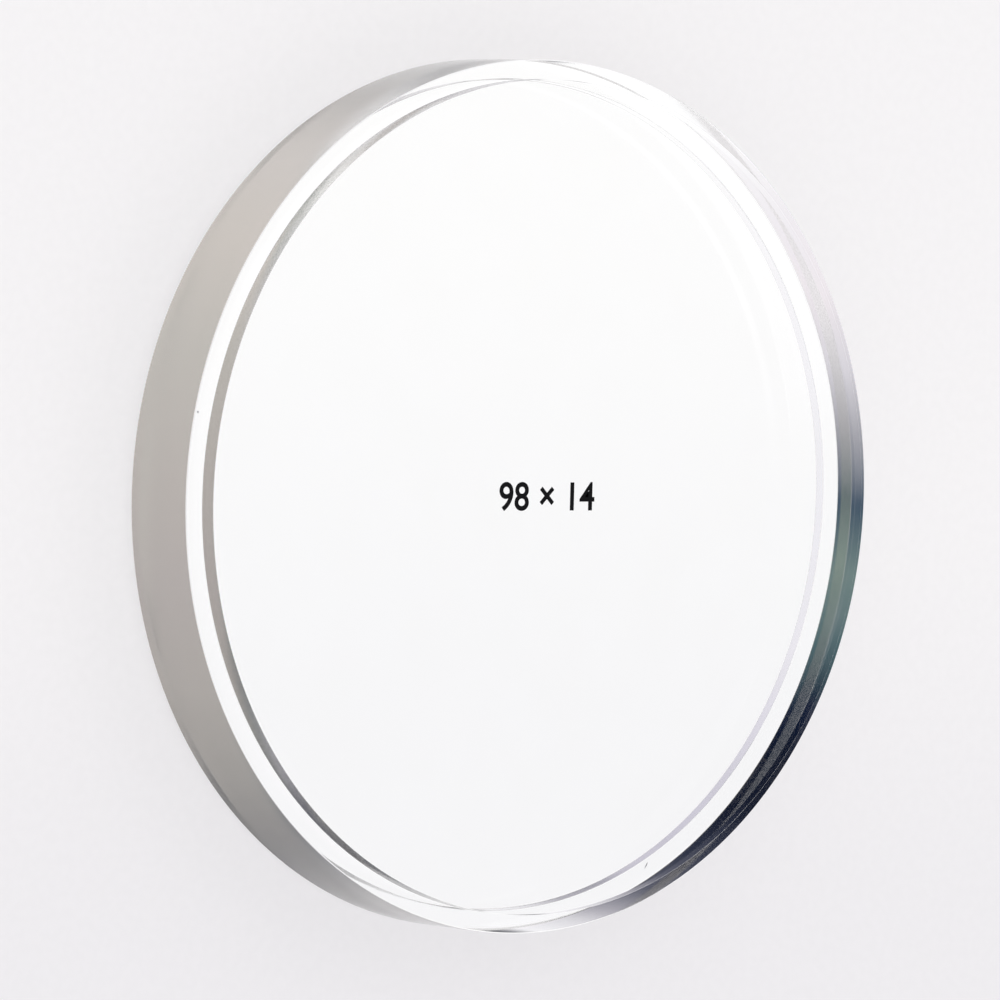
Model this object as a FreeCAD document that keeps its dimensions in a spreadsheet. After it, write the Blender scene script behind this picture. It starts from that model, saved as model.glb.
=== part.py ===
import FreeCAD, Part
import os
import math
import Sketcher

# Dental milling block: a round blank of clear splint plastic, turned from one piece.
# A clamping flange runs round its middle, and a flat boss stands proud on each face.
#
# Frame: +Z is the axis of the disc, and the printed front face points to +Z.
# +X is the reading direction of the print on that face, and +Y is its up.
# The origin is the centre of the back face, on which the block lies.
# Lengths are in millimetres.

NODE = "milling_blank"

# Driving dimensions
SIZES = {
    "disc_diameter": 98.0,
    "flange_thickness": 10.0,
    "boss_diameter": 93.6,
    "front_boss_height": 2.0,
    "back_boss_height": 2.0,
    "flange_edge_chamfer": 0.2,
    "boss_edge_chamfer": 0.25,
    "step_corner_radius": 0.3,
}

NOTES = {
    "disc_diameter": "outside of the flange, held in the ring of the milling machine",
    "flange_thickness": "clamped between the ring and its cover",
    "boss_diameter": "both raised faces",
    "front_boss_height": "from the front shoulder to the printed face",
    "back_boss_height": "from the back shoulder to the face it lies on",
    "flange_edge_chamfer": "broken edges of the flange",
    "boss_edge_chamfer": "broken edges of the two faces",
    "step_corner_radius": "left by the nose of the turning tool at the foot of each boss",
}

# Two edges count as the same circle within this distance
MATCH = 1e-4

# Share by which a volume may miss what the sizes give
VOLUME_MATCH = 1e-6


def make_sheet(doc):
    """The driving dimensions, one named cell each."""
    sheet = doc.addObject("Spreadsheet::Sheet", "Sizes")
    for row, (alias, value) in enumerate(SIZES.items(), start=1):
        sheet.set(f"A{row}", alias)
        sheet.set(f"B{row}", str(value))
        sheet.setAlias(f"B{row}", alias)
        sheet.set(f"C{row}", NOTES[alias])
    doc.recompute()
    return sheet


def origin_plane(body, role):
    """The body's own origin plane with this role, such as XZ_Plane."""
    for feature in body.Origin.OriginFeatures:
        if feature.Role == role:
            return feature
    raise ValueError(f"no origin feature {role} in {body.Label}")


def half_section_corners(size):
    """Corners of the half section, anticlockwise from the centre of the back face."""
    disc_radius = size("disc_diameter") / 2
    boss_radius = size("boss_diameter") / 2
    back_shoulder = size("back_boss_height")
    front_shoulder = back_shoulder + size("flange_thickness")
    front_face = front_shoulder + size("front_boss_height")
    return [
        (0, 0),
        (boss_radius, 0),
        (boss_radius, back_shoulder),
        (disc_radius, back_shoulder),
        (disc_radius, front_shoulder),
        (boss_radius, front_shoulder),
        (boss_radius, front_face),
        (0, front_face),
    ]


def draw_half_section(body, size):
    """Sketch of the stepped half section, with its dimensions bound to the sheet."""
    sketch = body.newObject("Sketcher::SketchObject", "half_section")
    sketch.AttachmentSupport = (origin_plane(body, "XZ_Plane"), "")
    sketch.MapMode = "FlatFace"

    corners = [FreeCAD.Vector(x, z, 0) for x, z in half_section_corners(size)]
    lines = []
    for start, end in zip(corners, corners[1:] + corners[:1]):
        lines.append(sketch.addGeometry(Part.LineSegment(start, end), False))
    back_face, back_wall, back_ring, rim, front_ring, front_wall, front_face, axis = lines

    start_point, end_point = 1, 2
    for line, following in zip(lines, lines[1:] + lines[:1]):
        sketch.addConstraint(Sketcher.Constraint("Coincident", line, end_point, following, start_point))
    for line in (back_face, back_ring, front_ring, front_face):
        sketch.addConstraint(Sketcher.Constraint("Horizontal", line))
    for line in (back_wall, rim, front_wall, axis):
        sketch.addConstraint(Sketcher.Constraint("Vertical", line))
    origin_geometry = -1
    sketch.addConstraint(Sketcher.Constraint("Coincident", back_face, start_point, origin_geometry, 1))

    # The two bosses share one diameter, so their walls stand on one line
    sketch.addConstraint(Sketcher.Constraint("Vertical", back_wall, end_point, front_wall, start_point))

    def dimension(name, kind, first, second, value, formula):
        index = sketch.addConstraint(Sketcher.Constraint(kind, *first, *second, value))
        sketch.renameConstraint(index, name)
        sketch.setExpression(f"Constraints.{name}", formula)

    dimension("boss_radius", "DistanceX", (back_face, start_point), (back_face, end_point),
              size("boss_diameter") / 2, "Sizes.boss_diameter / 2")
    dimension("disc_radius", "DistanceX", (back_face, start_point), (rim, start_point),
              size("disc_diameter") / 2, "Sizes.disc_diameter / 2")
    dimension("back_boss", "DistanceY", (back_wall, start_point), (back_wall, end_point),
              size("back_boss_height"), "Sizes.back_boss_height")
    dimension("flange", "DistanceY", (rim, start_point), (rim, end_point),
              size("flange_thickness"), "Sizes.flange_thickness")
    dimension("front_boss", "DistanceY", (front_wall, start_point), (front_wall, end_point),
              size("front_boss_height"), "Sizes.front_boss_height")
    return sketch


def circle_edges(shape, radius, heights):
    """Names of the circular edges of this radius that lie at one of these heights."""
    names = []
    for number, edge in enumerate(shape.Edges, start=1):
        curve = edge.Curve
        if not isinstance(curve, Part.Circle) or abs(curve.Radius - radius) > MATCH:
            continue
        if any(abs(curve.Center.z - height) <= MATCH for height in heights):
            names.append(f"Edge{number}")
    if len(names) != len(heights):
        raise ValueError(f"{len(heights)} circles of radius {radius} expected, {len(names)} found")
    return names


def check_turned_form(shape, size):
    """Stop if the turned form isn't the flange and the two bosses, as plain cylinders."""
    disc_area = math.pi * (size("disc_diameter") / 2) ** 2
    boss_area = math.pi * (size("boss_diameter") / 2) ** 2
    bosses = size("front_boss_height") + size("back_boss_height")
    expected = disc_area * size("flange_thickness") + boss_area * bosses
    if abs(shape.Volume - expected) > expected * VOLUME_MATCH:
        raise RuntimeError(f"turned volume {shape.Volume:.1f} mm3, and {expected:.1f} expected")


def break_edges(body, base, kind, name, size_name, radius, heights):
    """A chamfer or fillet of one sheet size along circular edges of the turned form."""
    feature = body.newObject(kind, name)
    feature.Base = (base, circle_edges(base.Shape, radius, heights))
    property_name = "Radius" if kind == "PartDesign::Fillet" else "Size"
    feature.setExpression(property_name, f"Sizes.{size_name}")
    return feature


def make_milling_blank(doc, sheet):
    """The whole block: turned half section, corner radii, then broken edges."""
    def size(alias):
        return float(sheet.get(alias))

    body = doc.addObject("PartDesign::Body", NODE)
    body.Label = NODE
    body.Placement = FreeCAD.Placement()

    sketch = draw_half_section(body, size)
    turned = body.newObject("PartDesign::Revolution", "turned_form")
    turned.Profile = sketch
    turned.ReferenceAxis = (sketch, ["V_Axis"])
    turned.Angle = 360
    sketch.Visibility = False
    doc.recompute()
    check_turned_form(turned.Shape, size)

    disc_radius = size("disc_diameter") / 2
    boss_radius = size("boss_diameter") / 2
    back_shoulder = size("back_boss_height")
    front_shoulder = back_shoulder + size("flange_thickness")
    front_face = front_shoulder + size("front_boss_height")

    corners = break_edges(body, turned, "PartDesign::Fillet", "step_corners",
                          "step_corner_radius", boss_radius, [back_shoulder, front_shoulder])
    doc.recompute()
    flange_edges = break_edges(body, corners, "PartDesign::Chamfer", "flange_edges",
                               "flange_edge_chamfer", disc_radius, [back_shoulder, front_shoulder])
    doc.recompute()
    boss_edges = break_edges(body, flange_edges, "PartDesign::Chamfer", "boss_edges",
                             "boss_edge_chamfer", boss_radius, [0.0, front_face])
    body.Tip = boss_edges
    return body


def check_document(doc, bodies):
    """Stop if any object failed to compute or a sub-part has no valid solid."""
    for thing in doc.Objects:
        if "Invalid" in thing.State or "Error" in thing.State:
            raise RuntimeError(f"{thing.Name} failed: {thing.State}")
    for body in bodies:
        if body.Shape.isNull() or not body.Shape.isValid():
            raise RuntimeError(f"{body.Label} has no valid shape")
        if len(body.Shape.Solids) != 1:
            raise RuntimeError(f"{body.Label} is {len(body.Shape.Solids)} solids, and the block is one piece")


def write_parts(bodies):
    """One STEP file for each sub-part, named after its label."""
    os.makedirs("parts", exist_ok=True)
    for body in bodies:
        body.Shape.exportStep(f"parts/{body.Label}.step")
        box = body.Shape.optimalBoundingBox()
        print(f"{body.Label}: {box.XLength:.2f} x {box.YLength:.2f} x {box.ZLength:.2f} mm, "
              f"{body.Shape.Volume / 1000:.2f} cm3")


def main():
    doc = FreeCAD.newDocument("dental_milling_block")
    sheet = make_sheet(doc)
    bodies = [make_milling_blank(doc, sheet)]
    doc.recompute()
    check_document(doc, bodies)
    write_parts(bodies)


main()
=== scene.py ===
"""Looks of the clear milling blank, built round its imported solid.

Lengths are in metres. +Z is the axis of the disc, out of its printed front face, +X is the
reading direction of the size mark on that face and +Y is its up. The block lies on its back
face, at Z = 0, on a pale studio floor.
"""

import logging
import math
from dataclasses import dataclass, field, replace
from enum import Enum
from typing import Iterable, Sequence

import bmesh
import bpy
from mathutils import Matrix, Vector


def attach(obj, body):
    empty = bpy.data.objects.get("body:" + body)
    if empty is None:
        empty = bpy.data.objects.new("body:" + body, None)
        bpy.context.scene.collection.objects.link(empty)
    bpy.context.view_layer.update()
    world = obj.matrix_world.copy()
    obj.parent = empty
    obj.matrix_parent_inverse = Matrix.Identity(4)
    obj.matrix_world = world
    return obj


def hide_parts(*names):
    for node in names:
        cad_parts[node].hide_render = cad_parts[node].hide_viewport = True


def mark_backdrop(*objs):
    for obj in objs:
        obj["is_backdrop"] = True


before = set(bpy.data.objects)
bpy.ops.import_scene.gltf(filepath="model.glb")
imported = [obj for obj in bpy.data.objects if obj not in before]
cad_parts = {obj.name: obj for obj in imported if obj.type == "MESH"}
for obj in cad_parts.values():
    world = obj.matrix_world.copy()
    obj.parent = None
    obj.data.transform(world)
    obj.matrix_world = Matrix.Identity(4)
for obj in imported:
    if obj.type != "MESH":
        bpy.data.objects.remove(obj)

LOG = logging.getLogger("milling_blank")

MM = 0.001
BODY = "root"
NODE = "milling_blank"

# What each face of the blank carries
ROUGHNESS_ATTRIBUTE = "finish_roughness"
GROOVE_ATTRIBUTE = "groove_slope"

Colour = tuple[float, float, float]
Range = tuple[float, float]
# Colours round the blank, each with its direction in degrees from +X
Room = tuple[tuple[float, Colour], ...]

# Noise textures seldom leave this range
NOISE_RANGE: Range = (0.3, 0.7)
NOISE_MIDDLE = 0.5


class Finish(Enum):
    """How a surface of the blank was left: its roughness, and the slope of its turning grooves."""

    POLISHED = (0.05, 0.0)
    FACED = (0.06, 0.001)
    TURNED = (0.07, 0.0015)
    BROKEN = (0.10, 0.0)

    @property
    def roughness(self) -> float:
        """Roughness of the shader."""
        return self.value[0]

    @property
    def groove_slope(self) -> float:
        """How steep the sides of the grooves are, as a rise over a run."""
        return self.value[1]


class NodeGraph:
    """Short calls for building a shader's node tree."""

    # Sockets of a Mix node that mixes colours, where several share one name
    MIX_FACTOR, MIX_FIRST, MIX_SECOND, MIX_RESULT = 0, 6, 7, 2

    def __init__(self, tree: bpy.types.NodeTree) -> None:
        """Start on a node tree, and empty it."""
        self.tree = tree
        tree.nodes.clear()

    def add(self, kind: str, **settings: object) -> bpy.types.Node:
        """Add one node.

        Args:
            kind: Type name of the node.
            **settings: Attributes to set on the node.

        Returns:
            The new node.
        """
        node = self.tree.nodes.new(kind)
        for name, value in settings.items():
            setattr(node, name, value)
        return node

    def feed(self, socket: bpy.types.NodeSocket, source: object) -> None:
        """Link an output to a socket, or set the socket's own value.

        Args:
            socket: The input to feed.
            source: An output socket, a number or a colour.
        """
        if isinstance(source, bpy.types.NodeSocket):
            self.tree.links.new(source, socket)
        elif isinstance(source, tuple) and len(source) == 3 and socket.type == "RGBA":
            socket.default_value = (*source, 1.0)
        else:
            socket.default_value = source

    def math(self, operation: str, *values: object) -> bpy.types.NodeSocket:
        """Add a Math node.

        Args:
            operation: Name of the operation.
            *values: Its inputs, as outputs of other nodes or numbers.

        Returns:
            The node's output.
        """
        node = self.add("ShaderNodeMath", operation=operation)
        for socket, value in zip(node.inputs, values):
            self.feed(socket, value)
        return node.outputs[0]

    def vector(self, operation: str, *values: object, scale: object = None,
               output: str = "Vector") -> bpy.types.NodeSocket:
        """Add a Vector Math node.

        Args:
            operation: Name of the operation.
            *values: Its vectors, as outputs of other nodes or tuples.
            scale: The factor of SCALE.
            output: Name of the output that is wanted.

        Returns:
            That output.
        """
        node = self.add("ShaderNodeVectorMath", operation=operation)
        for socket, value in zip(node.inputs, values):
            self.feed(socket, value)
        if scale is not None:
            self.feed(node.inputs["Scale"], scale)
        return node.outputs[output]

    def blend(self, factor: object, first: object, second: object) -> bpy.types.NodeSocket:
        """Mix two colours by a factor.

        Args:
            factor: 0 for the first colour and 1 for the second.
            first: A colour or an output.
            second: A colour or an output.

        Returns:
            The mixed colour.
        """
        node = self.add("ShaderNodeMix", data_type="RGBA")
        self.feed(node.inputs[self.MIX_FACTOR], factor)
        self.feed(node.inputs[self.MIX_FIRST], first)
        self.feed(node.inputs[self.MIX_SECOND], second)
        return node.outputs[self.MIX_RESULT]

    def mix(self, factor: object, first: bpy.types.NodeSocket,
            second: bpy.types.NodeSocket) -> bpy.types.NodeSocket:
        """Mix two shaders by a factor.

        Args:
            factor: 0 for the first shader and 1 for the second.
            first: A shader's output.
            second: A shader's output.

        Returns:
            The mixed shader.
        """
        node = self.add("ShaderNodeMixShader")
        for socket, source in zip(node.inputs, (factor, first, second)):
            self.feed(socket, source)
        return node.outputs[0]

    def place(self) -> bpy.types.NodeSocket:
        """The point on the object, in metres."""
        return self.add("ShaderNodeTexCoord").outputs["Object"]

    def split(self, vector: bpy.types.NodeSocket) -> tuple[bpy.types.NodeSocket, ...]:
        """Split a vector.

        Args:
            vector: The output to split.

        Returns:
            Its X, Y and Z.
        """
        node = self.add("ShaderNodeSeparateXYZ")
        self.feed(node.inputs[0], vector)
        return tuple(node.outputs)

    def show(self, surface: bpy.types.NodeSocket, kind: str = "ShaderNodeOutputMaterial") -> bpy.types.Node:
        """Show a shader as the surface.

        Args:
            surface: The shader's output.
            kind: Type name of the output node.

        Returns:
            The output node.
        """
        node = self.add(kind)
        self.feed(node.inputs["Surface"], surface)
        return node

    def remap(self, value: bpy.types.NodeSocket, low: float, high: float,
              new_low: float = 0.0, new_high: float = 1.0) -> bpy.types.NodeSocket:
        """Map a range smoothly onto another.

        Args:
            value: The output to map.
            low: Where the range starts.
            high: Where the range ends.
            new_low: What low becomes.
            new_high: What high becomes.

        Returns:
            The mapped value, held between the new ends.
        """
        node = self.add("ShaderNodeMapRange", interpolation_type="SMOOTHSTEP", clamp=True)
        for socket, number in zip(node.inputs, (value, low, high, new_low, new_high)):
            self.feed(socket, number)
        return node.outputs[0]

    def noise(self, coordinates: bpy.types.NodeSocket, waves: float, detail: float) -> bpy.types.NodeSocket:
        """Add a noise texture.

        Args:
            coordinates: The output to place it by.
            waves: Its waves per metre.
            detail: Its octaves.

        Returns:
            The noise, near 0.5.
        """
        node = self.add("ShaderNodeTexNoise")
        self.feed(node.inputs["Vector"], coordinates)
        node.inputs["Scale"].default_value = waves
        node.inputs["Detail"].default_value = detail
        return node.outputs["Fac"]

    def bump(self, height: bpy.types.NodeSocket, depth: float) -> bpy.types.NodeSocket:
        """Add a Bump node.

        Args:
            height: The relief, from 0 to 1.
            depth: Depth of the relief in metres.

        Returns:
            The bumped normal.
        """
        node = self.add("ShaderNodeBump")
        node.inputs["Distance"].default_value = depth
        self.feed(node.inputs["Height"], height)
        return node.outputs["Normal"]

    def ramp(self, factor: object, stops: Sequence[tuple[float, Colour]]) -> bpy.types.NodeSocket:
        """Add a colour ramp.

        Args:
            factor: The output that picks the colour.
            stops: Places from 0 to 1, each with its colour.

        Returns:
            The picked colour.
        """
        node = self.add("ShaderNodeValToRGB")
        node.color_ramp.interpolation = "LINEAR"
        elements = node.color_ramp.elements
        while len(elements) < len(stops):
            # Each stop moves to its own place below
            elements.new(0.5)
        for element, (place, colour) in zip(elements, stops):
            element.position = place
            element.color = (*colour, 1.0)
        self.feed(node.inputs[0], factor)
        return node.outputs[0]


def new_material(name: str) -> tuple[bpy.types.Material, NodeGraph]:
    """Make an empty node material.

    Args:
        name: The material's name.

    Returns:
        The material and its graph.
    """
    material = bpy.data.materials.new(name)
    material.use_nodes = True
    return material, NodeGraph(material.node_tree)


def new_object(name: str, mesh: bpy.types.Mesh) -> bpy.types.Object:
    """Put a mesh in the scene at the origin.

    Args:
        name: The object's name.
        mesh: Its mesh.

    Returns:
        The new object.
    """
    thing = bpy.data.objects.new(name, mesh)
    bpy.context.scene.collection.objects.link(thing)
    return thing


@dataclass(frozen=True)
class ClearPlastic:
    """Clear splint plastic, faintly warm where light runs a long way through it.

    Each face of the mesh carries its own roughness and groove slope. One material covers the
    whole closed blank, because light enters by one finish and leaves by another.
    """

    ior: float = 1.49
    groove_pitch: float = 0.30 * MM
    groove_detail: float = 2.0
    groove_roughness: float = 0.6
    # Widens the narrow noise to about one either way
    groove_gain: float = 8.0
    cloud_size: float = 9.0 * MM
    cloud_detail: float = 1.0
    cloud_range: Range = (0.35, 0.65)
    surface_colour: Colour = (1.0, 1.0, 1.0)
    clouded_colour: Colour = (0.994, 0.993, 0.991)
    # How far the clouds take the roughness up and down
    uneven_share: float = 0.25
    # About what a centimetre lets through, because the density counts the centimetres in a metre
    body_colour: Colour = (0.990, 0.989, 0.9875)
    body_density: float = 100.0

    def material(self) -> bpy.types.Material:
        """Build the finish.

        Returns:
            The material.
        """
        material, graph = new_material("clear_splint_plastic")
        place = graph.place()
        finish = graph.add("ShaderNodeAttribute", attribute_name=ROUGHNESS_ATTRIBUTE).outputs["Fac"]
        cloud = graph.noise(place, 1.0 / self.cloud_size, self.cloud_detail)
        uneven = graph.remap(cloud, *NOISE_RANGE, 1.0 - self.uneven_share, 1.0 + self.uneven_share)

        shader = graph.add("ShaderNodeBsdfPrincipled")
        shader.inputs["Transmission Weight"].default_value = 1.0
        shader.inputs["IOR"].default_value = self.ior
        clouded = graph.remap(cloud, *self.cloud_range)
        graph.feed(shader.inputs["Base Color"],
                   graph.blend(clouded, self.surface_colour, self.clouded_colour))
        graph.feed(shader.inputs["Roughness"], graph.math("MULTIPLY", finish, uneven))
        graph.feed(shader.inputs["Normal"], self._grooved_normal(graph, place))
        absorption = graph.add("ShaderNodeVolumeAbsorption")
        absorption.inputs["Color"].default_value = (*self.body_colour, 1.0)
        absorption.inputs["Density"].default_value = self.body_density
        graph.feed(graph.show(shader.outputs[0]).inputs["Volume"], absorption.outputs[0])
        return material

    def _grooved_normal(self, graph: NodeGraph, place: bpy.types.NodeSocket) -> bpy.types.NodeSocket:
        """Tilt the surface as the tool's fine grooves do, which run round the axis.

        Args:
            graph: The material's graph.
            place: The point on the blank.

        Returns:
            The tilted normal.
        """
        height = graph.split(place)[2]
        radius = graph.vector("LENGTH", graph.vector("MULTIPLY", place, (1.0, 1.0, 0.0)), output="Value")
        travel = graph.math("DIVIDE", graph.math("ADD", radius, height), self.groove_pitch)
        noise = graph.add("ShaderNodeTexNoise", noise_dimensions="1D")
        graph.feed(noise.inputs["W"], travel)
        noise.inputs["Scale"].default_value = 1.0
        noise.inputs["Detail"].default_value = self.groove_detail
        noise.inputs["Roughness"].default_value = self.groove_roughness
        swing = graph.math("SUBTRACT", noise.outputs["Fac"], NOISE_MIDDLE)
        swing = graph.math("MULTIPLY", swing, self.groove_gain)
        groove = graph.add("ShaderNodeAttribute", attribute_name=GROOVE_ATTRIBUTE).outputs["Fac"]
        slope = graph.math("MULTIPLY", swing, groove)

        normal = graph.add("ShaderNodeNewGeometry").outputs["Normal"]
        round_axis = graph.vector("NORMALIZE", graph.vector("CROSS_PRODUCT", (0.0, 0.0, 1.0), place))
        sideways = graph.vector("CROSS_PRODUCT", normal, round_axis)
        tilt = graph.vector("SCALE", sideways, scale=slope)
        return graph.vector("NORMALIZE", graph.vector("ADD", normal, tilt))


@dataclass(frozen=True)
class GrainedFinish:
    """An opaque finish whose colour, roughness and relief follow one fine grain."""

    name: str
    colour: Colour
    grained_colour: Colour
    # Where in the noise the first colour gives way to the second
    colour_range: Range
    roughness: Range
    gloss: float
    relief: float
    # Waves of the grain in a metre
    grain_waves: float
    grain_detail: float = 3.0

    def material(self) -> bpy.types.Material:
        """Build the finish.

        Returns:
            The material.
        """
        material, graph = new_material(self.name)
        grain = graph.noise(graph.place(), self.grain_waves, self.grain_detail)
        shader = graph.add("ShaderNodeBsdfPrincipled")
        colour = graph.blend(graph.remap(grain, *self.colour_range), self.colour, self.grained_colour)
        graph.feed(shader.inputs["Base Color"], colour)
        graph.feed(shader.inputs["Roughness"], graph.remap(grain, *NOISE_RANGE, *self.roughness))
        shader.inputs["Specular IOR Level"].default_value = self.gloss
        graph.feed(shader.inputs["Normal"], graph.bump(grain, self.relief))
        graph.show(shader.outputs[0])
        return material


@dataclass(frozen=True)
class PrintInk(GrainedFinish):
    """Flat black ink with a faintly uneven lay."""

    name: str = "black_ink"
    colour: Colour = (0.004, 0.004, 0.005)
    grained_colour: Colour = (0.009, 0.009, 0.010)
    colour_range: Range = (0.35, 0.7)
    roughness: Range = (0.52, 0.70)
    gloss: float = 0.05
    relief: float = 0.003 * MM
    grain_waves: float = 9000.0


@dataclass(frozen=True)
class ScuffedPlastic(GrainedFinish):
    """Dull grey of plastic that was scratched."""

    name: str = "scuffed_plastic"
    colour: Colour = (0.36, 0.36, 0.38)
    grained_colour: Colour = (0.22, 0.22, 0.24)
    colour_range: Range = (0.35, 0.65)
    roughness: Range = (0.45, 0.70)
    gloss: float = 0.5
    relief: float = 0.005 * MM
    grain_waves: float = 12000.0


@dataclass(frozen=True)
class ProfilePoint:
    """One ring of the turned profile, and the finish of the surface that follows it."""

    radius: float
    height: float
    finish: Finish


@dataclass
class MillingBlank:
    """The turned disc: a clamping flange between two slightly smaller raised faces."""

    disc_diameter: float = 98.0 * MM
    flange_thickness: float = 10.0 * MM
    boss_diameter: float = 93.6 * MM
    front_boss_height: float = 2.0 * MM
    back_boss_height: float = 2.0 * MM
    flange_edge_chamfer: float = 0.10 * MM
    boss_edge_chamfer: float = 0.03 * MM
    step_corner_radius: float = 0.05 * MM
    # The wall of the back boss leans in towards the floor by this much
    back_wall_lean: float = 0.08 * MM
    segments: int = 720
    corner_steps: int = 4
    face_rings: int = 6
    sharp_angle: float = math.radians(5.0)
    plastic: ClearPlastic = field(default_factory=ClearPlastic)

    @property
    def front_face_height(self) -> float:
        """Height of the printed face above the floor."""
        return self.back_boss_height + self.flange_thickness + self.front_boss_height

    def profile(self) -> list[ProfilePoint]:
        """Work out the half section, from the centre of the back face to the centre of the front face.

        Returns:
            Its points, with the corner arcs worked out.
        """
        disc, boss = self.disc_diameter / 2, self.boss_diameter / 2
        back = self.back_boss_height
        front = back + self.flange_thickness
        top = self.front_face_height
        edge, rim_edge, corner = self.boss_edge_chamfer, self.flange_edge_chamfer, self.step_corner_radius
        face_radii = [(boss - edge) * ring / self.face_rings for ring in range(1, self.face_rings + 1)]
        lean = self.back_wall_lean

        points = [ProfilePoint(0.0, 0.0, Finish.POLISHED)]
        points += [ProfilePoint(radius, 0.0, Finish.POLISHED) for radius in face_radii[:-1]]
        points.append(ProfilePoint(face_radii[-1] - lean, 0.0, Finish.BROKEN))
        points.append(ProfilePoint(boss - lean, edge, Finish.TURNED))
        points += self._corner(boss + corner, back - corner, math.pi, math.pi / 2)
        points += [
            ProfilePoint(disc - rim_edge, back, Finish.BROKEN),
            ProfilePoint(disc, back + rim_edge, Finish.TURNED),
            ProfilePoint(disc, front - rim_edge, Finish.BROKEN),
            ProfilePoint(disc - rim_edge, front, Finish.FACED),
        ]
        points += self._corner(boss + corner, front + corner, -math.pi / 2, -math.pi)
        points[-1] = replace(points[-1], finish=Finish.TURNED)
        points.append(ProfilePoint(boss, top - edge, Finish.BROKEN))
        points += [ProfilePoint(radius, top, Finish.POLISHED) for radius in reversed(face_radii)]
        points.append(ProfilePoint(0.0, top, Finish.POLISHED))
        return points

    def _corner(self, radius: float, height: float, start: float, end: float) -> list[ProfilePoint]:
        """Work out the arc at the foot of a boss.

        Args:
            radius: Radius of the arc's centre from the axis.
            height: Height of the arc's centre.
            start: Angle at which the arc starts.
            end: Angle at which it ends.

        Returns:
            The arc's points.
        """
        points = []
        for step in range(self.corner_steps + 1):
            angle = start + (end - start) * step / self.corner_steps
            points.append(ProfilePoint(radius + self.step_corner_radius * math.cos(angle),
                                       height + self.step_corner_radius * math.sin(angle), Finish.FACED))
        return points

    def build(self) -> bpy.types.Object:
        """Turn the profile into a closed mesh.

        Returns:
            The disc, with its finish attributes and its sharp edges set.
        """
        mesh_data = bmesh.new()
        layers = (mesh_data.faces.layers.float.new(ROUGHNESS_ATTRIBUTE),
                  mesh_data.faces.layers.float.new(GROOVE_ATTRIBUTE))
        profile = self.profile()
        rings = [self._ring(mesh_data, point) for point in profile]
        for lower, upper, point in zip(rings, rings[1:], profile):
            self._band(mesh_data, lower, upper, point.finish, layers)
        mesh_data.normal_update()
        for face in mesh_data.faces:
            face.smooth = True
        for edge in mesh_data.edges:
            if edge.calc_face_angle(0.0) > self.sharp_angle:
                edge.smooth = False
        mesh = bpy.data.meshes.new("clear_disc")
        mesh_data.to_mesh(mesh)
        mesh_data.free()
        return new_object("clear_disc", mesh)

    def _ring(self, mesh_data: bmesh.types.BMesh, point: ProfilePoint) -> list[bmesh.types.BMVert]:
        """Place the vertices of one ring.

        Args:
            mesh_data: The mesh being built.
            point: Where the ring crosses the profile.

        Returns:
            The ring's vertices, or one vertex on the axis.
        """
        if point.radius == 0.0:
            return [mesh_data.verts.new((0.0, 0.0, point.height))]
        turn = 2 * math.pi / self.segments
        angles = [step * turn for step in range(self.segments)]
        places = [(point.radius * math.cos(angle), point.radius * math.sin(angle), point.height)
                  for angle in angles]
        return [mesh_data.verts.new(place) for place in places]

    def _band(self, mesh_data: bmesh.types.BMesh, lower: Sequence[bmesh.types.BMVert],
              upper: Sequence[bmesh.types.BMVert], finish: Finish,
              layers: Sequence[bmesh.types.BMLayerItem]) -> None:
        """Make the faces between two rings, all facing outwards.

        Args:
            mesh_data: The mesh being built.
            lower: The ring that the profile reaches first.
            upper: The next ring.
            finish: How the faces were left.
            layers: Layers of their roughness and of their groove slope.
        """
        for step in range(self.segments):
            after = (step + 1) % self.segments
            if len(lower) == 1:
                corners = (lower[0], upper[after], upper[step])
            elif len(upper) == 1:
                corners = (lower[step], lower[after], upper[0])
            else:
                corners = (lower[step], lower[after], upper[after], upper[step])
            face = mesh_data.faces.new(corners)
            face[layers[0]] = finish.roughness
            face[layers[1]] = finish.groove_slope

    def dress(self, disc: bpy.types.Object) -> None:
        """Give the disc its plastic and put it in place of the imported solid.

        Args:
            disc: The disc.
        """
        disc.data.materials.append(self.plastic.material())
        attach(disc, BODY)
        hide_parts(NODE)


@dataclass
class SizeMark:
    """Plain numbers printed on the front face: diameter and thickness in millimetres."""

    text: str = "98 \u00d7 14"
    character_height: float = 3.1 * MM
    stroke_growth: float = 0.07 * MM
    ink_thickness: float = 0.004 * MM
    # Air under the ink, so that the two surfaces don't flicker
    gap: float = 0.001 * MM
    centre: tuple[float, float] = (0.0, 0.0)
    # Height of a digit in the built-in font, as a share of the font's size
    digit_share: float = 0.7
    ink: PrintInk = field(default_factory=PrintInk)

    def build(self, face_height: float) -> bpy.types.Object:
        """Lay the numbers on the face.

        Args:
            face_height: Height of the printed face.

        Returns:
            The print, as a thin mesh.
        """
        curve = bpy.data.curves.new("size_numbers", "FONT")
        curve.body = self.text
        curve.size = self.character_height / self.digit_share
        curve.offset = self.stroke_growth
        curve.extrude = self.ink_thickness / 2
        curve.align_x = "CENTER"
        curve.align_y = "CENTER"
        text = bpy.data.objects.new("size_numbers", curve)
        bpy.context.scene.collection.objects.link(text)
        bpy.context.view_layer.update()
        mesh = bpy.data.meshes.new_from_object(text.evaluated_get(bpy.context.evaluated_depsgraph_get()))
        bpy.data.objects.remove(text)
        place = Vector((*self.centre, face_height + self.gap + self.ink_thickness / 2))
        mesh.transform(Matrix.Translation(place))
        return new_object("size_numbers", mesh)

    def dress(self, mark: bpy.types.Object) -> None:
        """Ink the numbers and fix them to the blank.

        Args:
            mark: The numbers.
        """
        mark.data.materials.clear()
        mark.data.materials.append(self.ink.material())
        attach(mark, BODY)


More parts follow.
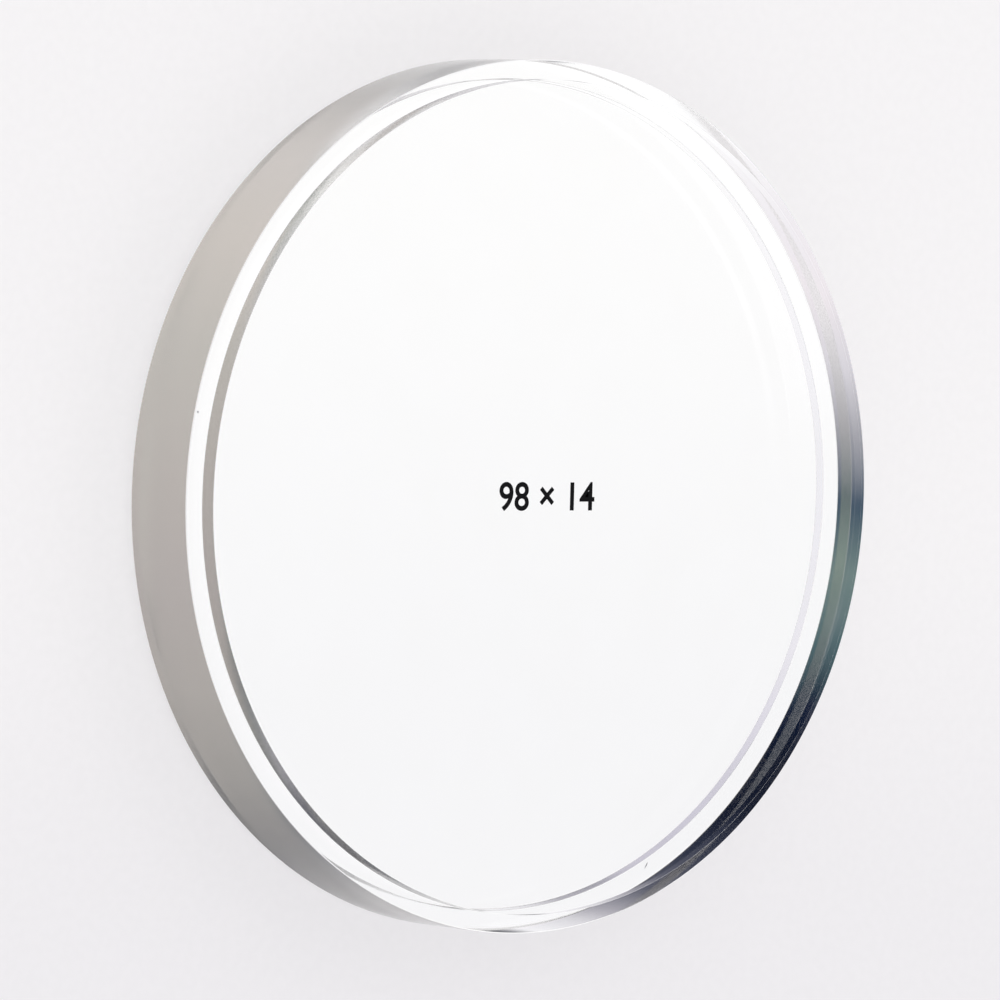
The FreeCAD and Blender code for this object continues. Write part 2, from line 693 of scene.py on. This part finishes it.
@dataclass(frozen=True)
class Scuff:
    """A short mark left in the surface: its place, its length and width and its direction."""

    radius: float
    angle: float
    height: float
    length: float
    width: float
    turn: float


@dataclass
class WearMarks:
    """Small handling marks: a scratch by the edge of the printed face, and a fleck on the shoulder."""

    marks: tuple[Scuff, ...] = (
        Scuff(44.6 * MM, math.radians(-69.0), 14.0 * MM, 0.95 * MM, 0.17 * MM, math.radians(58.0)),
        Scuff(48.6 * MM, math.radians(169.0), 12.0 * MM, 0.34 * MM, 0.22 * MM, math.radians(100.0)),
    )
    # Corners of a mark, as shares of half its length and half its width
    outline: tuple[tuple[float, float], ...] = (
        (1.0, 0.0), (0.4, 1.0), (-0.3, 0.8), (-1.0, 0.0), (-0.35, -0.6), (0.3, -1.0),
    )
    lift: float = 0.004 * MM
    plastic: ScuffedPlastic = field(default_factory=ScuffedPlastic)

    def build(self) -> bpy.types.Object:
        """Lay the marks on the blank.

        Returns:
            One thin mesh with every mark.
        """
        mesh_data = bmesh.new()
        for mark in self.marks:
            middle = Vector((mark.radius * math.cos(mark.angle), mark.radius * math.sin(mark.angle),
                             mark.height + self.lift))
            along = Vector((math.cos(mark.turn), math.sin(mark.turn), 0.0)) * mark.length / 2
            aside = Vector((-math.sin(mark.turn), math.cos(mark.turn), 0.0)) * mark.width / 2
            places = [middle + (along * forth + aside * out) for forth, out in self.outline]
            mesh_data.faces.new([mesh_data.verts.new(place) for place in places])
        mesh = bpy.data.meshes.new("wear_marks")
        mesh_data.to_mesh(mesh)
        mesh_data.free()
        return new_object("wear_marks", mesh)

    def dress(self, marks: bpy.types.Object) -> None:
        """Give the marks their dull grey, and fix them to the blank.

        Args:
            marks: The marks.
        """
        marks.data.materials.append(self.plastic.material())
        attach(marks, BODY)


@dataclass(frozen=True)
class StudioFloor:
    """Pale matt floor, with painted shade that darkens it towards -Y. The clear plastic shows the studio
    through it, and it keeps the shadow.
    """

    radius: float = 3.0
    drop: float = 0.05 * MM
    segments: int = 96
    colour: Colour = (0.925, 0.909, 0.922)
    # Painted shade on the paper towards -Y
    painted_shade_colour: Colour = (0.866, 0.850, 0.873)
    # Painted shade: the paper darkens towards -Y, between these places along the print's up direction
    near_edge: float = -56.0 * MM
    far_edge: float = 4.0 * MM
    grain_size: float = 1.2 * MM
    grain_detail: float = 2.0
    grain_share: float = 0.006
    # How much of the paper's brightness the block's shade doesn't reach
    even_share: float = 0.62
    # A reflection beyond this ray depth comes from inside the plastic
    inner_depth: float = 1.5

    def build(self) -> bpy.types.Object:
        """Lay the floor.

        Returns:
            None: the floor is laid and marked as backdrop, but not given back.
        """
        mesh_data = bmesh.new()
        bmesh.ops.create_circle(mesh_data, cap_ends=True, segments=self.segments, radius=self.radius)
        mesh = bpy.data.meshes.new("studio_floor")
        mesh_data.to_mesh(mesh)
        mesh_data.free()
        mesh.transform(Matrix.Translation((0.0, 0.0, -self.drop)))
        floor = new_object("studio_floor", mesh)
        floor.data.materials.append(self._material())
        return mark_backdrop(floor)

    def _material(self) -> bpy.types.Material:
        """Make matt paper, which light from inside the plastic passes on its way to the studio.

        Returns:
            The material.
        """
        material, graph = new_material("studio_paper")
        place = graph.place()
        # Painted shade: the paper's colour darkens towards -Y
        nearness = graph.remap(graph.split(place)[1], self.near_edge, self.far_edge)
        shade = graph.blend(nearness, self.painted_shade_colour, self.colour)
        grain = graph.noise(place, 1.0 / self.grain_size, self.grain_detail)
        grain = graph.remap(grain, *NOISE_RANGE, 1.0 - self.grain_share, 1.0 + self.grain_share)
        tint = graph.vector("SCALE", shade, scale=grain)
        matt = graph.add("ShaderNodeBsdfDiffuse")
        graph.feed(matt.inputs["Color"], tint)
        glow = graph.add("ShaderNodeEmission")
        graph.feed(glow.inputs["Color"], tint)
        paper = graph.mix(self.even_share, matt.outputs[0], glow.outputs[0])

        rays = graph.add("ShaderNodeLightPath").outputs
        inside = graph.math("GREATER_THAN", rays["Ray Depth"], self.inner_depth)
        inner = graph.math("MULTIPLY", rays["Is Glossy Ray"], inside)
        passed = graph.math("MAXIMUM", rays["Is Transmission Ray"], inner)
        clear = graph.add("ShaderNodeBsdfTransparent").outputs[0]
        graph.show(graph.mix(passed, paper, clear))
        return material


@dataclass(frozen=True)
class Studio:
    """Soft even light, and the pale and dark sides of the room that the plastic bends into view."""

    light: Colour = (1.0, 1.0, 1.0)
    backdrop: Colour = (0.915, 0.900, 0.918)
    # What the faces show, and then its tints: low along the print's up, nearly level, nearly upright
    white: Colour = (1.095, 1.095, 1.095)
    low_white: Colour = (1.015, 1.015, 1.03)
    level_white: Colour = (0.88, 0.875, 0.89)
    steep_white: Colour = (1.00, 1.00, 1.01)
    # The room for light that turned one to three times inside the plastic, by where it goes
    rim_room: Room = (
        (0.0, (0.02, 0.02, 0.03)),
        (8.0, (0.30, 0.30, 0.32)),
        (14.0, (0.98, 0.97, 1.00)),
        (30.0, (0.76, 0.75, 0.79)),
        (40.0, (0.44, 0.43, 0.48)),
        (54.0, (0.115, 0.120, 0.160)),
        (73.0, (0.030, 0.036, 0.062)),
        (91.0, (0.006, 0.009, 0.022)),
        (109.0, (0.004, 0.007, 0.019)),
        (124.0, (0.006, 0.012, 0.035)),
        (143.0, (0.075, 0.135, 0.150)),
        (162.0, (0.160, 0.230, 0.225)),
        (181.0, (0.050, 0.085, 0.130)),
        (200.0, (0.375, 0.375, 0.415)),
        (218.0, (0.72, 0.70, 0.75)),
        (240.0, (0.92, 0.87, 0.91)),
        (260.0, (0.93, 0.90, 0.94)),
        (304.0, (1.08, 1.08, 1.09)),
        (346.0, (1.08, 1.08, 1.09)),
        (352.0, (0.30, 0.30, 0.32)),
    )
    # For light that turned four or five times
    deep_room: Room = (
        (0.0, (0.52, 0.48, 0.46)),
        (11.0, (0.48, 0.44, 0.43)),
        (28.0, (0.43, 0.40, 0.38)),
        (45.0, (0.30, 0.285, 0.27)),
        (66.0, (0.03, 0.03, 0.035)),
        (94.0, (0.0, 0.0, 0.0)),
        (112.0, (0.20, 0.19, 0.19)),
        (135.0, (0.50, 0.48, 0.47)),
        (180.0, (0.62, 0.60, 0.58)),
        (206.0, (1.00, 0.98, 1.00)),
        (257.0, (1.13, 1.13, 1.14)),
        (280.0, (0.56, 0.53, 0.51)),
        (303.0, (0.70, 0.655, 0.63)),
        (322.0, (0.68, 0.63, 0.59)),
        (339.0, (0.58, 0.555, 0.52)),
    )
    # For light that turned more often, and so crossed the whole blank
    far_room: Room = (
        (0.0, (0.52, 0.48, 0.46)),
        (45.0, (0.30, 0.285, 0.27)),
        (66.0, (0.09, 0.09, 0.095)),
        (90.0, (0.02, 0.02, 0.03)),
        (120.0, (0.0, 0.0, 0.010)),
        (142.0, (0.03, 0.04, 0.06)),
        (152.0, (0.05, 0.065, 0.09)),
        (162.0, (0.15, 0.22, 0.215)),
        (171.0, (0.245, 0.33, 0.295)),
        (180.0, (0.135, 0.185, 0.19)),
        (190.0, (0.50, 0.50, 0.53)),
        (206.0, (1.08, 1.06, 1.10)),
        (320.0, (1.10, 1.10, 1.10)),
        (339.0, (0.58, 0.555, 0.52)),
    )
    # The colour of that light where it leaves steeply, from about 155 degrees on
    returned: Colour = (0.60, 0.575, 0.545)
    # For light that turned one to three times and leaves less steeply, by the wall of the back boss
    wall_room: Room = (
        (0.0, (1.08, 1.08, 1.08)),
        (32.0, (1.03, 1.02, 1.04)),
        (44.0, (0.92, 0.90, 0.95)),
        (58.0, (0.67, 0.65, 0.73)),
        (80.0, (0.64, 0.62, 0.71)),
        (100.0, (0.68, 0.66, 0.75)),
        (120.0, (0.76, 0.74, 0.82)),
        (142.0, (0.88, 0.86, 0.92)),
        (182.0, (0.92, 0.91, 0.96)),
        (200.0, (0.95, 0.94, 0.98)),
        (240.0, (1.00, 0.99, 1.02)),
        (300.0, (1.08, 1.08, 1.08)),
    )
    # A dark side of the room that the faces mirror, away from the camera, and how near a direction
    # comes to it, as a cosine
    mirrored: tuple[float, float, float] = (0.629, -0.034, 0.777)
    mirrored_colour: Colour = (0.02, 0.03, 0.05)
    mirrored_range: Range = (0.986, 0.995)

    # Where one colour gives way to the next, by the height of the direction: 0 level, 1 upright
    level_slopes: Range = (0.45, 0.62)
    wall_slopes: Range = (0.58, 0.63)
    rim_slopes: Range = (0.708, 0.724)
    returned_slopes: Range = (0.785, 0.805)
    steep_slopes: Range = (0.84, 0.93)
    upright_slopes: Range = (0.95, 0.98)
    # The same by the direction's part along the print's up, and by its turn round the blank from 0 to 1
    low_range: Range = (-0.075, 0.012)
    returned_turns: Range = (0.42, 0.45)

    # Ray depths between one case and the next. In the world, a first reflection has a depth of 2,
    # and light that went straight through has 3.
    first_depth: float = 2.5
    rim_depth: float = 3.5
    deep_depth: float = 6.5
    far_depth: float = 8.5
    matt_depth: float = 0.5

    def build(self) -> None:
        """Set the world, by what a ray went through and by where it goes."""
        world = bpy.data.worlds.new("studio")
        bpy.context.scene.world = world
        world.use_nodes = True
        # Light sampled straight from the world wouldn't know what it went through
        world.cycles.sampling_method = "NONE"
        graph = NodeGraph(world.node_tree)
        rays = graph.add("ShaderNodeLightPath").outputs
        direction = graph.add("ShaderNodeTexCoord").outputs["Generated"]
        across, along, height = graph.split(direction)
        angle = graph.math("DIVIDE", graph.math("ARCTAN2", along, across), 2 * math.pi)
        turn = graph.math("FRACT", graph.math("ADD", angle, 1.0))
        slope = graph.math("ABSOLUTE", height)
        depth = rays["Ray Depth"]

        white = self._white(graph, along, slope)
        seen = graph.blend(graph.math("GREATER_THAN", depth, self.rim_depth),
                           white, self._rim(graph, turn, slope, white))
        seen = graph.blend(graph.math("GREATER_THAN", depth, self.deep_depth),
                           seen, self._deep(graph, turn, slope, depth))
        seen = graph.blend(self._mirror(graph, direction, rays), seen, self.mirrored_colour)
        seen = graph.blend(graph.math("GREATER_THAN", rays["Diffuse Depth"], self.matt_depth),
                           seen, self.light)

        bent = graph.math("MAXIMUM", rays["Is Transmission Ray"], rays["Is Glossy Ray"])
        straight = graph.blend(rays["Is Camera Ray"], self.light, self.backdrop)
        background = graph.add("ShaderNodeBackground")
        graph.feed(background.inputs["Color"], graph.blend(bent, straight, seen))
        background.inputs["Strength"].default_value = 1.0
        graph.show(background.outputs[0], "ShaderNodeOutputWorld")

    def _white(self, graph: NodeGraph, along: bpy.types.NodeSocket,
               slope: bpy.types.NodeSocket) -> bpy.types.NodeSocket:
        """Mix what the faces show.

        Args:
            graph: The world's graph.
            along: The direction's part along the print's up.
            slope: The height of the direction.

        Returns:
            The colour.
        """
        white = graph.blend(graph.remap(along, *self.low_range), self.low_white, self.white)
        white = graph.blend(graph.remap(slope, *self.level_slopes), self.level_white, white)
        return graph.blend(graph.remap(slope, *self.steep_slopes), white, self.steep_white)

    def _rim(self, graph: NodeGraph, turn: bpy.types.NodeSocket, slope: bpy.types.NodeSocket,
             white: bpy.types.NodeSocket) -> bpy.types.NodeSocket:
        """Mix what light shows that turned one to three times.

        Args:
            graph: The world's graph.
            turn: The direction, from 0 to 1 round the blank.
            slope: The height of the direction.
            white: What the faces show.

        Returns:
            The colour.
        """
        wall = self._round(graph, turn, self.wall_room)
        rim = self._round(graph, turn, self.rim_room)
        shown = graph.blend(graph.remap(slope, *self.wall_slopes), white, wall)
        shown = graph.blend(graph.remap(slope, *self.rim_slopes), shown, rim)
        return graph.blend(graph.remap(slope, *self.upright_slopes), shown, white)

    def _deep(self, graph: NodeGraph, turn: bpy.types.NodeSocket, slope: bpy.types.NodeSocket,
              depth: bpy.types.NodeSocket) -> bpy.types.NodeSocket:
        """Mix what light shows that turned four times or more.

        Args:
            graph: The world's graph.
            turn: The direction, from 0 to 1 round the blank.
            slope: The height of the direction.
            depth: The ray's depth.

        Returns:
            The colour.
        """
        returned = graph.math("MULTIPLY", graph.remap(slope, *self.returned_slopes),
                              graph.remap(turn, *self.returned_turns))
        far = graph.blend(returned, self._round(graph, turn, self.far_room), self.returned)
        crossed = graph.math("GREATER_THAN", depth, self.far_depth)
        return graph.blend(crossed, self._round(graph, turn, self.deep_room), far)

    def _mirror(self, graph: NodeGraph, direction: bpy.types.NodeSocket,
                rays: bpy.types.NodeOutputs) -> bpy.types.NodeSocket:
        """Work out how far a direction lies in the dark side that the faces mirror.

        Args:
            graph: The world's graph.
            direction: The ray's direction.
            rays: Outputs of a Light Path node.

        Returns:
            1 inside that side for a first reflection, and 0 elsewhere.
        """
        nearness = graph.vector("DOT_PRODUCT", direction, self.mirrored, output="Value")
        first = graph.math("LESS_THAN", rays["Ray Depth"], self.first_depth)
        first = graph.math("MULTIPLY", rays["Is Glossy Ray"], first)
        return graph.math("MULTIPLY", graph.remap(nearness, *self.mirrored_range), first)

    def _round(self, graph: NodeGraph, turn: bpy.types.NodeSocket, room: Room) -> bpy.types.NodeSocket:
        """Pick the room's colour in one direction, by a ramp that closes on itself."""
        stops = [(degrees / 360.0, colour) for degrees, colour in room]
        return graph.ramp(turn, [*stops, (1.0, room[0][1])])


@dataclass(frozen=True)
class ProductCamera:
    """Long lens that looks down on the printed face from the side of its -X edge.

    The lens and the sensor are in millimetres, as the camera takes them.
    """

    lens: float = 324.0
    sensor: float = 36.0
    distance: float = 1002.9 * MM
    tilt: float = math.radians(39.05)
    heading: float = math.radians(-3.10)
    roll: float = math.radians(-1.58)
    aim: tuple[float, float] = (-6.75 * MM, -0.22 * MM)
    # The nearest and farthest things that it shows
    nearest: float = 0.1
    farthest: float = 20.0

    def build(self, aim_height: float) -> bpy.types.Object:
        """Place the camera and make it the scene's own.

        Args:
            aim_height: Height of the point that it looks at.

        Returns:
            The camera.
        """
        reach = math.sin(self.tilt)
        forward = Vector((reach * math.cos(self.heading), reach * math.sin(self.heading),
                          -math.cos(self.tilt)))
        print_up = Vector((0.0, 1.0, 0.0))
        level = (print_up - forward * print_up.dot(forward)).normalized()
        up = Matrix.Rotation(self.roll, 3, forward) @ level
        right = forward.cross(up)
        place = Vector((*self.aim, aim_height)) - forward * self.distance

        data = bpy.data.cameras.new("product_camera")
        data.lens = self.lens
        data.sensor_width = self.sensor
        data.clip_start = self.nearest
        data.clip_end = self.farthest
        camera = bpy.data.objects.new("product_camera", data)
        bpy.context.scene.collection.objects.link(camera)
        turn = Matrix((right, up, -forward)).transposed().to_4x4()
        camera.matrix_world = Matrix.Translation(place) @ turn
        bpy.context.scene.camera = camera
        return camera


@dataclass(frozen=True)
class LightPaths:
    """How often light may turn, so that it gets through the clear disc, in all and of each kind."""

    total: int = 16
    matt: int = 2
    mirrored: int = 14
    bent: int = 12

    def build(self) -> None:
        """Set the scene's light paths, and show colours as they are written."""
        scene = bpy.context.scene
        scene.view_settings.view_transform = "Standard"
        scene.cycles.max_bounces = self.total
        scene.cycles.diffuse_bounces = self.matt
        scene.cycles.glossy_bounces = self.mirrored
        scene.cycles.transmission_bounces = self.bent


def corners(bounds: Iterable[Iterable[float]]) -> list[list[float]]:
    """A box as plain lists of numbers."""
    return [[float(number) for number in corner] for corner in bounds]


def main() -> None:
    """Build the studio and the dressed blank in order, and report each piece."""
    logging.basicConfig(level=logging.INFO, format="%(name)s: %(message)s")
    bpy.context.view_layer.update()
    LightPaths().build()

    blank = MillingBlank()
    ProductCamera().build(blank.front_face_height)
    Studio().build()
    StudioFloor().build()

    disc = blank.build()
    blank.dress(disc)
    LOG.info("clear disc: %d faces", len(disc.data.polygons))

    mark = SizeMark()
    numbers = mark.build(blank.front_face_height)
    mark.dress(numbers)
    LOG.info("size mark: %d faces", len(numbers.data.polygons))

    wear = WearMarks()
    scuffs = wear.build()
    wear.dress(scuffs)
    LOG.info("wear marks: %d faces", len(scuffs.data.polygons))


if __name__ == "__main__":
    main()
